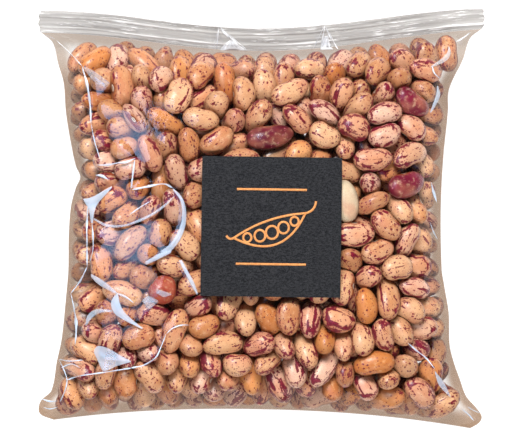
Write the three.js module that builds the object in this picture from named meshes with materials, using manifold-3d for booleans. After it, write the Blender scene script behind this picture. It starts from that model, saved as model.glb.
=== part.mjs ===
// A clear press-to-close bag packed full of dried speckled beans, lying on its back with its label up.
// Millimetres. X runs across the bag, Y up the bag towards its mouth and Z out of the surface it lies on.
// The origin is under the middle of the bag, at the lowest point.
import * as THREE from "three";
import { mergeVertices } from "three/addons/utils/BufferGeometryUtils.js";
import Module from "manifold-3d";

const wasm = await Module();
wasm.setup();

// The bag seen from above: its width between the corners, its bottom fold, which bows down to the
// two corners, and its mouth, which the filling pulls down between its two ends.
const BAG_WIDTH = 196;
const BOTTOM_FOLD_Y = -78;
const CORNERS_DROP = 6.2;
const CORNERS_AT = 90;
const CORNERS_SHARPNESS = 2.2;
const BOTTOM_SLOPE = -0.02;
const MOUTH_Y = 80;
const MOUTH_ENDS_RISE = 8;

// The bag seen from the side: how high it lies, and the seam that runs round it between the two films.
const FILLED_HEIGHT = 35;
const SEAM_HEIGHT = 11;
const SEAM_ENDS_DROP = 3;
const SEAM_ENDS_SHARPNESS = 4;
const FILM_THICKNESS = 0.9;
const PAD_BELOW_SEAM = 5;
const SEAM_MARGIN = 0.035;
const FLATNESS = 3.4;
const ROUNDNESS = 2.6;
const POUCH_COLUMNS = 18;
const POUCH_ROWS = 19;
const CROWDING = 0.85;

// The beans that press against the film.
const BEAN_LENGTH = 16.4;
const BEAN_WIDTH = 10.4;
const BEAN_DEPTH = 8.4;
const BEAN_BEND = 0.2;
const BEAN_BEND_BACK = 0.07;
const BEAN_SIDES = 6;
const BEAN_RINGS = 4;
const BEAN_SPACING = 9.1;
const BEAN_STANDS_OUT = [2.2, 3.3];
const BEAN_SIZE_FIRST = 1.18;
const BEAN_SIZE_LAST = 0.86;
const BEAN_SIZE_SPREAD = [0.94, 1.06];
const BEAN_LEAN = [-0.25, 0.25];
const BEAN_LEAST_FULLNESS = 0.5;
const BEAN_TRIES = 9000;
const BEAN_SEED = 41;

// The closing strip across the mouth, with its two press-together ribs and the lips above them.
const STRIP_OVERHANG = 0.3;
const STRIP_HEIGHT = 9.6;
const STRIP_THICKNESS = 0.8;
const RIB_THICKNESS = 2.2;
const RIBS_AT = [0.24, 0.72];
const RIB_HALF_WIDTH = 0.045;
const RIB_SLOPE = 0.04;
const STRIP_COLUMNS = 40;
const KINKS_AT = [-19, 27];
const KINK_HALF_WIDTH = 5;
const KINK_LIFT = 1.8;
const KINK_LIFT_AT_SEAM = 0.3;
const RIPPLE_HEIGHT = 0.5;
const RIPPLE_LENGTH = 11;

// The stuck-on paper label.
const LABEL_SIDE = 60;
const LABEL_THICKNESS = 0.5;
const LABEL_CENTRE = { x: 4.2, y: 2.5 };
const LABEL_TURN = -0.8;
const LABEL_LIFT = 3.4;
const LABEL_STEPS = 10;
const BED_BORDER = 3;
const BED_DEPTH = 6;
const BED_STEPS = 6;

// The clear distance between two parts that lie against each other.
const GAP = 0.3;

// The bag's sides as distances from its middle line, from the bottom corner (0) up to the mouth (1).
// Each corner sticks out as an ear, and the full bag pulls the film in between them.
const LEFT_SIDE = [
  [0, 91.5],
  [0.015, 96.6],
  [0.03, 98.2],
  [0.055, 97],
  [0.075, 92.6],
  [0.15, 90],
  [0.21, 87.8],
  [0.31, 86],
  [0.385, 84.9],
  [0.473, 84.7],
  [0.548, 83.8],
  [0.598, 81.6],
  [0.626, 79.6],
  [0.655, 81.6],
  [0.715, 83.8],
  [0.795, 86],
  [0.87, 87],
  [0.92, 89.5],
  [0.975, 92],
  [1, 97],
];
const RIGHT_SIDE = [
  [0, 92],
  [0.017, 95.8],
  [0.035, 97],
  [0.054, 94.6],
  [0.078, 90.2],
  [0.119, 87.3],
  [0.162, 84.5],
  [0.204, 82.7],
  [0.284, 82.3],
  [0.354, 80.3],
  [0.395, 79.2],
  [0.548, 78.8],
  [0.679, 79.9],
  [0.799, 82],
  [0.843, 82.1],
  [0.873, 83.8],
  [0.926, 88.6],
  [0.98, 92],
  [1, 97],
];

const lerp = (a, b, t) => a + (b - a) * t;
const clamp01 = (t) => Math.min(1, Math.max(0, t));

// A small seeded random generator, so that the beans lie the same way every time.
function seeded(seed) {
  let state = seed >>> 0;
  return () => {
    state = (state + 0x6d2b79f5) >>> 0;
    let t = Math.imul(state ^ (state >>> 15), 1 | state);
    t = (t + Math.imul(t ^ (t >>> 7), 61 | t)) ^ t;
    return ((t ^ (t >>> 14)) >>> 0) / 4294967296;
  };
}

// A smooth curve through [position, value] knots, which never overshoots a level stretch by much.
function through(knots, t) {
  let i = 0;
  while (i < knots.length - 2 && t > knots[i + 1][0]) i += 1;
  const slope = (k) => {
    const before = knots[Math.max(0, k - 1)];
    const after = knots[Math.min(knots.length - 1, k + 1)];
    return (after[1] - before[1]) / (after[0] - before[0]);
  };
  const span = knots[i + 1][0] - knots[i][0];
  const s = clamp01((t - knots[i][0]) / span);
  const a = knots[i][1];
  const b = knots[i + 1][1];
  return (
    (2 * s ** 3 - 3 * s ** 2 + 1) * a +
    (s ** 3 - 2 * s ** 2 + s) * span * slope(i) +
    (3 * s ** 2 - 2 * s ** 3) * b +
    (s ** 3 - s ** 2) * span * slope(i + 1)
  );
}

// The bottom fold and the mouth across the bag.
function bottomEdge(x) {
  const drop = CORNERS_DROP * Math.abs(x / CORNERS_AT) ** CORNERS_SHARPNESS;
  return BOTTOM_FOLD_Y - drop + BOTTOM_SLOPE * x;
}
function mouthEdge(x) {
  return MOUTH_Y + MOUTH_ENDS_RISE * Math.sin((Math.PI * x) / BAG_WIDTH) ** 2;
}

// Where u across and v up the bag lie on the table, seen from above.
function planPoint(u, v) {
  const x = lerp(-through(LEFT_SIDE, v), through(RIGHT_SIDE, v), u);
  return { x, y: lerp(bottomEdge(x), mouthEdge(x), v) };
}

// How full the bag is at u, v: 1 in the middle, falling off round and steep to 0 at the seams.
function fullness(u, v) {
  const across = clamp01(Math.abs(2 * u - 1) / (1 - SEAM_MARGIN));
  const along = clamp01(Math.abs(2 * v - 1) / (1 - SEAM_MARGIN));
  return ((1 - across ** FLATNESS) * (1 - along ** FLATNESS)) ** (1 / ROUNDNESS);
}

// The seam lies a little lower at the two ends of the bag than at its sides.
const seamHeight = (v) => SEAM_HEIGHT - SEAM_ENDS_DROP * Math.abs(2 * v - 1) ** SEAM_ENDS_SHARPNESS;

// The front of the bag between its beans, and its back, which lies flat on the table.
function frontHeight(u, v) {
  const seam = seamHeight(v) + FILM_THICKNESS / 2;
  return seam + (FILLED_HEIGHT - seam) * fullness(u, v);
}
function backHeight(u, v) {
  const seam = seamHeight(v) - FILM_THICKNESS / 2;
  return Math.max(0, seam - (seam + PAD_BELOW_SEAM) * fullness(u, v));
}

// A closed skin over a grid of columns and rows. place(s, t) gives { x, y, top, bottom }.
function slab(columns, rows, place) {
  const across = columns.length;
  const along = rows.length;
  const corners = [];
  for (const side of ["top", "bottom"])
    for (const t of rows)
      for (const s of columns) {
        const p = place(s, t);
        corners.push(p.x, p.y, p[side]);
      }
  const at = (i, j, k) => k * across * along + j * across + i;
  const faces = [];
  const quad = (a, b, c, d) => faces.push(a, b, c, a, c, d);
  for (let j = 0; j < along - 1; j += 1)
    for (let i = 0; i < across - 1; i += 1) {
      quad(at(i, j, 0), at(i + 1, j, 0), at(i + 1, j + 1, 0), at(i, j + 1, 0));
      quad(at(i, j, 1), at(i, j + 1, 1), at(i + 1, j + 1, 1), at(i + 1, j, 1));
    }
  for (let i = 0; i < across - 1; i += 1) {
    quad(at(i, 0, 1), at(i + 1, 0, 1), at(i + 1, 0, 0), at(i, 0, 0));
    quad(at(i + 1, along - 1, 1), at(i, along - 1, 1), at(i, along - 1, 0), at(i + 1, along - 1, 0));
  }
  for (let j = 0; j < along - 1; j += 1) {
    quad(at(0, j + 1, 1), at(0, j, 1), at(0, j, 0), at(0, j + 1, 0));
    quad(at(across - 1, j, 1), at(across - 1, j + 1, 1), at(across - 1, j + 1, 0), at(across - 1, j, 0));
  }
  const geometry = new THREE.BufferGeometry();
  geometry.setAttribute("position", new THREE.Float32BufferAttribute(corners, 3));
  geometry.setIndex(faces);
  return geometry;
}

// Steps from 0 to 1 that crowd towards both ends, where the bag curves most.
function crowded(count) {
  return Array.from({ length: count + 1 }, (_, i) => {
    const even = i / count;
    return lerp(even, (1 - Math.cos(Math.PI * even)) / 2, CROWDING);
  });
}
const evenly = (count) => Array.from({ length: count + 1 }, (_, i) => i / count);

// Between a three.js geometry and a manifold-3d solid.
function solidOf(geometry) {
  const bare = new THREE.BufferGeometry();
  bare.setAttribute("position", geometry.getAttribute("position"));
  bare.setIndex(geometry.index);
  const merged = mergeVertices(bare, 1e-4);
  return new wasm.Manifold(
    new wasm.Mesh({
      numProp: 3,
      vertProperties: merged.attributes.position.array,
      triVerts: new Uint32Array(merged.index.array),
    }),
  );
}
function geometryOf(solid) {
  const { vertProperties, triVerts } = solid.getMesh();
  const geometry = new THREE.BufferGeometry();
  geometry.setAttribute("position", new THREE.BufferAttribute(new Float32Array(vertProperties), 3));
  geometry.setIndex(new THREE.BufferAttribute(new Uint32Array(triVerts), 1));
  geometry.computeVertexNormals();
  return geometry;
}

// A point on the bag's front with the direction that it faces.
function frontPoint(u, v) {
  const step = 0.004;
  const at = (a, b) => {
    const p = planPoint(a, b);
    return new THREE.Vector3(p.x, p.y, frontHeight(a, b));
  };
  const acrossway = at(u + step, v).sub(at(u - step, v));
  const upway = at(u, v + step).sub(at(u, v - step));
  const normal = acrossway.clone().cross(upway).normalize();
  return { point: at(u, v), normal, acrossway: acrossway.normalize() };
}

// A plump kidney shape: longer than wide, flatter than wide, and hollowed a little on its inner side.
function beanGeometry(size) {
  const geometry = new THREE.SphereGeometry(1, BEAN_SIDES, BEAN_RINGS);
  geometry.rotateZ(Math.PI / 2);
  const position = geometry.attributes.position;
  for (let i = 0; i < position.count; i += 1) {
    const along = position.getX(i);
    const bend = BEAN_BEND * along * along - BEAN_BEND_BACK;
    position.setXYZ(
      i,
      (along * BEAN_LENGTH * size) / 2,
      ((position.getY(i) - bend) * BEAN_WIDTH * size) / 2,
      (position.getZ(i) * BEAN_DEPTH * size) / 2,
    );
  }
  return geometry;
}

// Whether a point of the plan is so far under the label that nothing shows there.
function underLabel({ x, y }) {
  const reach = Math.max(Math.abs(x - LABEL_CENTRE.x), Math.abs(y - LABEL_CENTRE.y));
  return reach < LABEL_SIDE / 2 - BED_BORDER;
}

// Beans spread over the front, the largest first, each clear enough of those before it to be seen.
function scatterBeans() {
  const random = seeded(BEAN_SEED);
  const placed = [];
  for (let i = 0; i < BEAN_TRIES; i += 1) {
    const u = random();
    const v = random();
    const turn = Math.PI * random();
    const share = lerp(BEAN_SIZE_FIRST, BEAN_SIZE_LAST, i / BEAN_TRIES);
    const size = share * lerp(...BEAN_SIZE_SPREAD, random());
    if (fullness(u, v) < BEAN_LEAST_FULLNESS || underLabel(planPoint(u, v))) continue;
    const { point, normal, acrossway } = frontPoint(u, v);
    const crowdedOut = placed.some((bean) => {
      return bean.point.distanceTo(point) < (BEAN_SPACING * (bean.size + size)) / 2;
    });
    if (crowdedOut) continue;
    const lean = lerp(...BEAN_LEAN, random());
    const standsOut = lerp(...BEAN_STANDS_OUT, random());
    placed.push({ point, normal, acrossway, turn, size, lean, standsOut });
  }
  return placed;
}

function beanSolid({ point, normal, acrossway, turn, size, lean, standsOut }) {
  const long = acrossway.clone().applyAxisAngle(normal, turn);
  const wide = normal.clone().cross(long).normalize();
  const out = long.clone().cross(wide).normalize();
  const sunk = standsOut - (BEAN_DEPTH * size) / 2;
  const frame = new THREE.Matrix4().makeBasis(long, wide, out);
  frame.multiply(new THREE.Matrix4().makeRotationX(lean));
  frame.setPosition(point.clone().addScaledVector(normal, sunk));
  return solidOf(beanGeometry(size).applyMatrix4(frame));
}

// The u, v of a point of the plan, by stepping towards it.
function gridPlace(x, y) {
  let u = 0.5;
  let v = 0.5;
  for (let step = 0; step < 6; step += 1) {
    const edge = planPoint(u, v).x;
    v = (y - bottomEdge(edge)) / (mouthEdge(edge) - bottomEdge(edge));
    u = (x + through(LEFT_SIDE, v)) / (through(RIGHT_SIDE, v) + through(LEFT_SIDE, v));
  }
  return { u, v };
}

// A square patch over the front, turned as the label is. heights(u, v, s, t) gives its { top, bottom }.
function patch(side, steps, heights) {
  const turn = THREE.MathUtils.degToRad(LABEL_TURN);
  return slab(steps, steps, (s, t) => {
    const a = (s - 0.5) * side;
    const b = (t - 0.5) * side;
    const x = LABEL_CENTRE.x + a * Math.cos(turn) - b * Math.sin(turn);
    const y = LABEL_CENTRE.y + a * Math.sin(turn) + b * Math.cos(turn);
    const { u, v } = gridPlace(x, y);
    return { x, y, ...heights(frontHeight(u, v), s, t) };
  });
}

// The film that the label holds level over the beans beneath it, sloping off all round.
function labelBed() {
  const side = LABEL_SIDE + 2 * BED_BORDER;
  const border = (2 * BED_BORDER) / side;
  const steps = [0, ...evenly(BED_STEPS).map((t) => lerp(border, 1 - border, t)), 1];
  return patch(side, steps, (front, s, t) => {
    const onRim = Math.min(s, t, 1 - s, 1 - t) === 0;
    return { top: front + (onRim ? -BED_BORDER / 2 : LABEL_LIFT), bottom: front - BED_DEPTH };
  });
}

// The film packed with beans: the pouch with its flat seams and corner ears, and the beans that show.
function filledBag() {
  const pouch = slab(crowded(POUCH_COLUMNS), crowded(POUCH_ROWS), (u, v) => ({
    ...planPoint(u, v),
    top: frontHeight(u, v),
    bottom: backHeight(u, v),
  }));
  const parts = [solidOf(pouch), solidOf(labelBed()), ...scatterBeans().map(beanSolid)];
  return geometryOf(wasm.Manifold.union(parts));
}

// The strip's cross-section from its lower edge (0) to the lips (1), as [place, thickness].
const STRIP_SECTION = [
  [0, STRIP_THICKNESS],
  ...RIBS_AT.flatMap((place) => [
    [place - RIB_HALF_WIDTH - RIB_SLOPE, STRIP_THICKNESS],
    [place - RIB_HALF_WIDTH, RIB_THICKNESS],
    [place + RIB_HALF_WIDTH, RIB_THICKNESS],
    [place + RIB_HALF_WIDTH + RIB_SLOPE, STRIP_THICKNESS],
  ]),
  [1, STRIP_THICKNESS],
];

function closingStrip() {
  const halfWidth = BAG_WIDTH / 2 + STRIP_OVERHANG;
  const lift = (x) => {
    const kinks = KINKS_AT.map((at) => clamp01(1 - Math.abs(x - at) / KINK_HALF_WIDTH));
    return KINK_LIFT * Math.max(...kinks) + RIPPLE_HEIGHT * Math.sin(x / RIPPLE_LENGTH);
  };
  const places = STRIP_SECTION.map(([place]) => place);
  return slab(evenly(STRIP_COLUMNS), places, (u, t) => {
    const x = lerp(-halfWidth, halfWidth, u);
    const middle = seamHeight(1) + lift(x) * lerp(KINK_LIFT_AT_SEAM, 1, t);
    const thick = STRIP_SECTION.find(([place]) => place === t)[1];
    const y = mouthEdge(x) + GAP + STRIP_HEIGHT * t;
    return { x, y, top: middle + thick / 2, bottom: middle - thick / 2 };
  });
}

// The paper square, bent over the bag.
function label() {
  return patch(LABEL_SIDE, evenly(LABEL_STEPS), (front) => {
    const bottom = front + LABEL_LIFT + GAP;
    return { top: bottom + LABEL_THICKNESS, bottom };
  });
}

const MATERIALS = {
  filled_bag: { color: 0xc98a63, roughness: 0.45, metalness: 0 },
  closing_strip: { color: 0xcfcdca, roughness: 0.3, metalness: 0, transparent: true, opacity: 0.7 },
  label: { color: 0x3a3b3e, roughness: 0.85, metalness: 0 },
};

const shapes = { filled_bag: filledBag(), closing_strip: closingStrip(), label: label() };

const bag = new THREE.Group();
bag.name = "bag_of_dried_beans";
for (const [name, geometry] of Object.entries(shapes)) {
  geometry.computeVertexNormals();
  const mesh = new THREE.Mesh(geometry, new THREE.MeshStandardMaterial(MATERIALS[name]));
  mesh.name = name;
  bag.add(mesh);
}

// The whole bag is slid so that the origin is under the middle of its box.
const box = new THREE.Box3().setFromObject(bag);
const middle = box.getCenter(new THREE.Vector3());
bag.position.set(-middle.x, -middle.y, -box.min.z);

export default bag;
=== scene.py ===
import math

import bpy
import numpy as np
from mathutils import Matrix, Vector
from mathutils.bvhtree import BVHTree


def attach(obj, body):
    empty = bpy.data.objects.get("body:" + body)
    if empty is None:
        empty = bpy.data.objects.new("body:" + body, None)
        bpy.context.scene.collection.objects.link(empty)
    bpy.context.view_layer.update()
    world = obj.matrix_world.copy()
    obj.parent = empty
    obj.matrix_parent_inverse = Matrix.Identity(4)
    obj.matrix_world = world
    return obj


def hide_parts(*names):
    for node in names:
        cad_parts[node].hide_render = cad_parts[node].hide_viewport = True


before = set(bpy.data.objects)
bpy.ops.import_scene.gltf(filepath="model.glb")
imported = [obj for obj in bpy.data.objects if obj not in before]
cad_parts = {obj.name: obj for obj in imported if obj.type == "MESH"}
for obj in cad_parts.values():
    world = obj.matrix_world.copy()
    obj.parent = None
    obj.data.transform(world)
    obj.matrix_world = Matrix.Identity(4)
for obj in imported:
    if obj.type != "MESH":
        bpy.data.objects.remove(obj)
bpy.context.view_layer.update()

# The empty bag: two sheets of clear film welded together along both sides and folded at the bottom.
# Packed full and laid on its back it becomes a pillow, flat below and domed above, whose sides are
# pulled in between the two ears at its bottom corners and the two ends of its mouth.
MM = 0.001
BAG_WIDTH = 196.0
BAG_MIDDLE_Y = 5.776
BOTTOM_FOLD_Y = -78.0
BOTTOM_TILT = 0.02
EAR_DROP, EAR_X, EAR_SHARPNESS = 6.2, 90.0, 2.2
MOUTH_Y = 80.0
MOUTH_END_RISE = 8.0
RIGHT_END_RISE = 1.7
DOME_HEIGHT = 35.0
SEAM_HEIGHT, SEAM_DROP = 11.0, 3.0
SEAM_HALF_GAP = 0.45
SEAM_MARGIN = 0.035
# How square the filled bag is seen from above, how round its shoulders are, how fast it falls away
# outside its seams, and how hard its back is pressed flat.
FULL_SQUARE, FULL_ROUND, OUTSIDE_FALL, BACK_PRESS = 3.4, 2.6, 6.0, 5.0
# How far the two sides stand out from the middle, from the bottom fold at 0 to the mouth at 1.
LEFT_SIDE = [
    (0, 91.5), (0.015, 96.6), (0.03, 98.2), (0.055, 97), (0.075, 92.6), (0.15, 90), (0.21, 87.8),
    (0.31, 86), (0.385, 84.9), (0.473, 84.7), (0.548, 83.8), (0.598, 81.6), (0.626, 79.6),
    (0.655, 81.6), (0.715, 83.8), (0.795, 86), (0.87, 87), (0.92, 89.5), (0.975, 92), (1, 97),
]
RIGHT_SIDE = [
    (0, 92), (0.017, 95.8), (0.035, 97), (0.054, 94.6), (0.078, 90.2), (0.119, 87.3), (0.162, 84.5),
    (0.204, 82.7), (0.284, 82.3), (0.354, 80.3), (0.395, 79.2), (0.548, 78.8), (0.679, 79.9),
    (0.799, 82), (0.843, 82.1), (0.873, 83.8), (0.926, 88.6), (0.98, 92), (1, 97),
]


def through(knots, t):
    """A smooth curve through (place, value) knots."""
    place, value = np.array(knots, float).T
    knot = np.arange(len(place))
    before, after = np.maximum(knot - 1, 0), np.minimum(knot + 1, len(place) - 1)
    slope = (value[after] - value[before]) / (place[after] - place[before])
    k = np.clip(np.searchsorted(place, t) - 1, 0, len(place) - 2)
    span = place[k + 1] - place[k]
    s = np.clip((t - place[k]) / span, 0, 1)
    return (
        (2 * s**3 - 3 * s**2 + 1) * value[k] + (s**3 - 2 * s**2 + s) * span * slope[k]
        + (3 * s**2 - 2 * s**3) * value[k + 1] + (s**3 - s**2) * span * slope[k + 1]
    )


def bottom_edge(x):
    return BOTTOM_FOLD_Y - EAR_DROP * np.abs(x / EAR_X) ** EAR_SHARPNESS - BOTTOM_TILT * x - BAG_MIDDLE_Y


def mouth_edge(x):
    ends = MOUTH_END_RISE * np.sin(np.pi * x / BAG_WIDTH) ** 2
    return MOUTH_Y + ends + RIGHT_END_RISE * np.clip(2 * x / BAG_WIDTH, 0, 1) ** 4 - BAG_MIDDLE_Y


def plan(u, v):
    """Where u across and v up the bag lie, in millimetres."""
    x = -through(LEFT_SIDE, v) * (1 - u) + through(RIGHT_SIDE, v) * u
    return x, bottom_edge(x) * (1 - v) + mouth_edge(x) * v


def unplan(x, y):
    """The u and v of a place in the plan, by stepping towards it."""
    u = v = np.full(np.shape(x), 0.5)
    for _ in range(7):
        edge = plan(u, v)[0]
        v = (y - bottom_edge(edge)) / (mouth_edge(edge) - bottom_edge(edge))
        left, right = through(LEFT_SIDE, v), through(RIGHT_SIDE, v)
        u = (x + left) / (left + right)
    return u, v


def fullness(u, v, square=FULL_SQUARE):
    """1 in the middle of the bag and 0 at its seams, and less still outside them."""
    across, along = np.abs(2 * u - 1) / (1 - SEAM_MARGIN), np.abs(2 * v - 1) / (1 - SEAM_MARGIN)
    inside = (1 - np.minimum(across, 1) ** square) * (1 - np.minimum(along, 1) ** square)
    return inside ** (1 / FULL_ROUND) - OUTSIDE_FALL * np.maximum(np.maximum(across, along) - 1, 0)


def seam(v):
    return SEAM_HEIGHT - SEAM_DROP * np.minimum(np.abs(2 * v - 1), 1) ** 4


def front(u, v):
    foot = seam(v) + SEAM_HALF_GAP
    return foot + (DOME_HEIGHT - foot) * fullness(u, v)


def back(u, v):
    foot = seam(v) - SEAM_HALF_GAP
    return np.maximum(0, foot - (foot + BACK_PRESS) * fullness(u, v))


def added(name, data):
    """A new object in the scene, at the origin, for this mesh, light or camera."""
    thing = bpy.data.objects.new(name, data)
    bpy.context.scene.collection.objects.link(thing)
    return thing


def new_piece(name, points, faces, smooth=True, edges=()):
    """An object whose mesh has these points, in millimetres, and these faces or edges."""
    mesh = bpy.data.meshes.new(name)
    mesh.from_pydata((np.asarray(points, float) * MM).tolist(), edges, faces)
    mesh.update()
    mesh.polygons.foreach_set("use_smooth", np.full(len(mesh.polygons), smooth))
    return added(name, mesh)


def attribute(piece, name, values):
    """Gives each of a piece's points a value of its own: a number, a whole number or three numbers."""
    values = np.asarray(values)
    whole = np.issubdtype(values.dtype, np.integer)
    kind = "FLOAT_VECTOR" if values.ndim == 2 else "INT" if whole else "FLOAT"
    made = piece.data.attributes.new(name, kind, "POINT")
    values = values.astype(np.int32 if whole else np.float32).ravel()
    made.data.foreach_set("vector" if kind == "FLOAT_VECTOR" else "value", values)


# The beans are poured in and shaken down. They are jammed between the two films, so those against
# a film lie flat on it. No two are quite alike: 12.5 to 21 mm long, some 11 mm wide and 9 mm thick.
BEAN_COUNT = 632
BEAN_SEED = 7
BEAN_LONG, BEAN_WIDE, BEAN_THICK = 16.8, 10.9, 8.8
LONG_VARIES, WIDE_VARIES, THICK_VARIES = 0.12, 0.07, 0.06
BEAN_SHORTEST, BEAN_LONGEST = 12.5, 21.0
BEAN_TOP = 3.0
BEAN_FLOOR = 0.35
BEAN_MARGIN_SIDE = 1.006
BEAN_MARGIN_BOTTOM = 0.997
BEAN_MARGIN_TOP = 1.005
BEAN_SQUARE = 5.5
BEAN_BED = 0.4
BEAN_KEEP = 0.3
POUR_STEPS = 230
FIELD_STEP, FIELD_HALF_X, FIELD_HALF_Y = 1.0, 104.0, 98.0
LABEL_SIDE = 60.0
LABEL_CENTRE = (4.2, 2.5 - BAG_MIDDLE_Y)
LABEL_DENT, LABEL_DENT_REACH, LABEL_DENT_FADE = 0.5, 1.34, 0.3
chance = np.random.default_rng(BEAN_SEED)

# How high the films lie where the beans may reach, over a fine field of posts.
field_x = np.arange(-FIELD_HALF_X, FIELD_HALF_X + FIELD_STEP / 2, FIELD_STEP)
field_y = np.arange(-FIELD_HALF_Y, FIELD_HALF_Y + FIELD_STEP / 2, FIELD_STEP)
plan_x, plan_y = np.meshgrid(field_x, field_y, indexing="ij")
field_u, field_v = unplan(plan_x, plan_y)
end_margin = np.where(field_v < 0.5, BEAN_MARGIN_BOTTOM, BEAN_MARGIN_TOP)
packed_u, packed_v = 0.5 + (field_u - 0.5) * BEAN_MARGIN_SIDE, 0.5 + (field_v - 0.5) * end_margin
packed = fullness(packed_u, packed_v, BEAN_SQUARE)
foot = seam(field_v) + SEAM_HALF_GAP
film_above = foot + (DOME_HEIGHT + BEAN_TOP - foot) * packed
from_label = np.maximum(abs(plan_x - LABEL_CENTRE[0]), abs(plan_y - LABEL_CENTRE[1])) / (LABEL_SIDE / 2)
film_above -= LABEL_DENT * np.clip((LABEL_DENT_REACH - from_label) / LABEL_DENT_FADE, 0, 1)
foot = seam(field_v) - SEAM_HALF_GAP
film_below = foot - (foot + BACK_PRESS) * packed
film_below = np.where(packed < 0, film_below, np.maximum(film_below, BEAN_BED))
slopes = [np.gradient(film_above, FIELD_STEP), np.gradient(film_below, FIELD_STEP)]


def look_up(field, x, y):
    """The field's value at places between its posts."""
    i, j = (x - field_x[0]) / FIELD_STEP, (y - field_y[0]) / FIELD_STEP
    i, j = np.clip(i, 0, len(field_x) - 1.001), np.clip(j, 0, len(field_y) - 1.001)
    a, b = i.astype(int), j.astype(int)
    s, t = i - a, j - b
    low = field[a, b] * (1 - s) + field[a + 1, b] * s
    high = field[a, b + 1] * (1 - s) + field[a + 1, b + 1] * s
    return low * (1 - t) + high * t


def turned(turn, by):
    """Rotation matrices turned a little further, by small rotation vectors."""
    angle = np.linalg.norm(by, axis=1) + 1e-12
    k = by / angle[:, None]
    cross = np.zeros((len(by), 3, 3))
    cross[:, 0, 1], cross[:, 0, 2], cross[:, 1, 2] = -k[:, 2], k[:, 1], -k[:, 0]
    cross[:, 1, 0], cross[:, 2, 0], cross[:, 2, 1] = k[:, 2], -k[:, 1], k[:, 0]
    s, c = np.sin(angle)[:, None, None], np.cos(angle)[:, None, None]
    out = (np.eye(3) + s * cross + (1 - c) * cross @ cross) @ turn
    x = out[:, :, 0] / np.linalg.norm(out[:, :, 0], axis=1)[:, None]
    y = out[:, :, 1] - x * np.sum(x * out[:, :, 1], axis=1)[:, None]
    y /= np.linalg.norm(y, axis=1)[:, None]
    return np.stack([x, y, np.cross(x, y)], axis=2)


# The beans start smaller than they are and are full grown part of the way through the pouring.
START_SIZE, GROWN_BY = 0.6, 0.55
# How much of an overlap is put right in a step, and the most that a bean moves and turns in one.
PUSH_SHARE, WALL_SHARE = 1.7, 1.3
MOST_MOVE, MOST_SPIN, LEAST_INERTIA = 1.5, 0.12, 12.0
# How strongly a bean is tipped to lie flat, pressed to the nearer film, and spread out from the middle.
LEVEL_SHARE, PRESS_SHARE, SPREAD_SHARE = 0.05, 0.05, 0.05
PRESS_OVER, SPREAD_OVER = 4.0, 45.0


def poured(size, place, turn, loose):
    """Beans of these sizes, grown and pushed apart until they lie jammed in the bag.

    Six balls stand for a bean. Where two balls overlap, or one goes through a film, the bean is
    pushed back and turned. loose is 1 for a bean that may tip over to lie flat and 0 for the rest.
    """
    ball = np.array([(-1, 0.6), (-1, -0.6), (0, 1), (0, -1), (1, 0.6), (1, -0.6)])
    radius = size[:, 2] / 2
    reach, spread = size[:, 0] / 2 - radius, size[:, 1] / 2 - radius
    flat = np.zeros((len(size), len(ball)))
    balls = np.stack([ball[:, 0] * reach[:, None], ball[:, 1] * spread[:, None], flat], axis=2)
    for step in range(POUR_STEPS):
        grown = min(1.0, START_SIZE + (1 - START_SIZE) * step / (GROWN_BY * POUR_STEPS))
        arm = np.einsum("nij,nkj->nki", turn, balls * grown)
        middle = place[:, None] + arm
        if step % 6 == 0:
            far = np.linalg.norm(place[:, None] - place[None], axis=2)
            near = far - (size[:, None, 0] + size[None, :, 0]) / 2 < 1.0
            one, other = np.argwhere(np.triu(near, 1)).T
        apart = middle[one][:, :, None] - middle[other][:, None]
        far = np.linalg.norm(apart, axis=3) + 1e-9
        deep = np.maximum((radius[one] + radius[other])[:, None, None] * grown - far, 0)
        push = apart / far[..., None] * deep[..., None] / 2
        force, count = np.zeros_like(middle), np.zeros_like(flat)
        np.add.at(force, one, push.sum(axis=2))
        np.add.at(force, other, -push.sum(axis=1))
        np.add.at(count, one, (deep > 0).sum(axis=2))
        np.add.at(count, other, (deep > 0).sum(axis=1))
        move = force.sum(axis=1) / np.maximum(count.sum(axis=1), 1)[:, None] * PUSH_SHARE
        walls, touched = np.zeros_like(force), np.zeros_like(count)
        x, y, z = middle[..., 0], middle[..., 1], middle[..., 2]
        for side, film, slope in ((1, film_above, slopes[0]), (-1, film_below, slopes[1])):
            lean_x, lean_y = (np.clip(look_up(field, x, y), -3, 3) for field in slope)
            steep = np.sqrt(lean_x**2 + lean_y**2 + 1)
            into = np.maximum(radius[:, None] * grown - side * (look_up(film, x, y) - z) / steep, 0)
            inward = side * np.stack([lean_x, lean_y, -np.ones_like(lean_x)], axis=2) / steep[..., None]
            walls += into[..., None] * inward
            touched += into > 0
        move += walls.sum(axis=1) / np.maximum(touched.sum(axis=1), 1)[:, None] * WALL_SHARE
        twist = np.cross(arm, force + walls).sum(axis=1)
        inertia = (np.linalg.norm(arm, axis=2) ** 2 * (count + touched > 0)).sum(axis=1) + LEAST_INERTIA
        spin = np.clip(twist / inertia[:, None], -MOST_SPIN, MOST_SPIN)
        face = turn[:, :, 2] * np.sign(turn[:, 2, 2])[:, None]
        spin += LEVEL_SHARE * np.cross(face, (0, 0, 1)) * loose[:, None]
        heart_x, heart_y = place[:, 0], place[:, 1]
        half_way = (look_up(film_above, heart_x, heart_y) + look_up(film_below, heart_x, heart_y)) / 2
        move[:, 2] += PRESS_SHARE * np.clip((place[:, 2] - half_way) / PRESS_OVER, -1, 1)
        outward = np.clip(place[:, :2] / SPREAD_OVER, -1, 1)
        move[:, :2] += SPREAD_SHARE * (1 - step / POUR_STEPS) * outward
        place = place + np.clip(move, -MOST_MOVE, MOST_MOVE)
        turn = turned(turn, spin)
    lowest = place[:, 2] + (np.einsum("nij,nkj->nki", turn, balls)[..., 2] - radius[:, None]).min(axis=1)
    place[:, 2] += np.maximum(0, BEAN_FLOOR - lowest)
    return place, turn


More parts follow.
